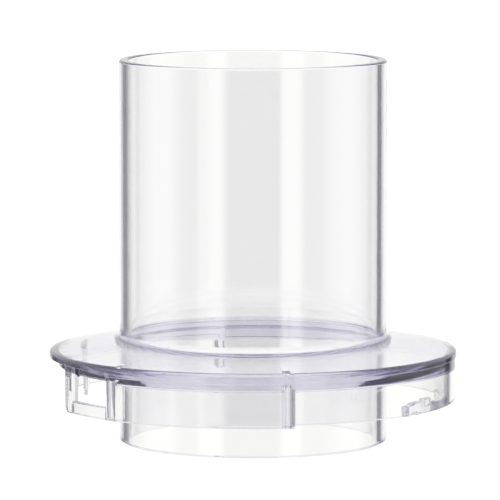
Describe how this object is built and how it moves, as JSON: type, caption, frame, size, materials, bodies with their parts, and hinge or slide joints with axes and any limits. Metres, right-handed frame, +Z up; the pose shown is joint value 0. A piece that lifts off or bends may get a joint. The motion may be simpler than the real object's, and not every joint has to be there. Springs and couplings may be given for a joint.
{
  "type": "food processor feed tube collar",
  "caption": "Clear open feed tube with a flanged bayonet collar and skirt, which guides food into a food processor bowl.",
  "frame": {"origin": "centre of the tube's lower end, on the surface that it stands on", "axes": "+Z up the tube, towards the end where food goes in; -Y is the front and +X the right side"},
  "size_m": [0.128, 0.128, 0.12],
  "materials": {
    "clear_wall": "polished clear, water white",
    "clear_thick": "polished clear, faint violet where it is thick"
  },
  "bodies": {
    "root": {"feed_tube": "clear_wall", "spigot": "clear_wall", "root_fillet": "clear_thick", "collar_deck": "clear_wall", "rim_right_high": "clear_thick", "rim_front_low": "clear_thick", "rim_left_high": "clear_thick", "rim_back_low": "clear_thick", "skirt_right": "clear_wall", "skirt_front": "clear_wall", "skirt_back": "clear_wall", "skirt_rear_left": "clear_wall", "front_rib": "clear_thick", "back_rib": "clear_thick", "window_sill": "clear_thick", "window_rear_post": "clear_wall", "window_fin": "clear_thick", "interlock_guide": "clear_wall", "bayonet_ramp": "clear_thick", "bayonet_stop": "clear_thick", "catch_tab": "clear_thick"}
  },
  "joints": []
}
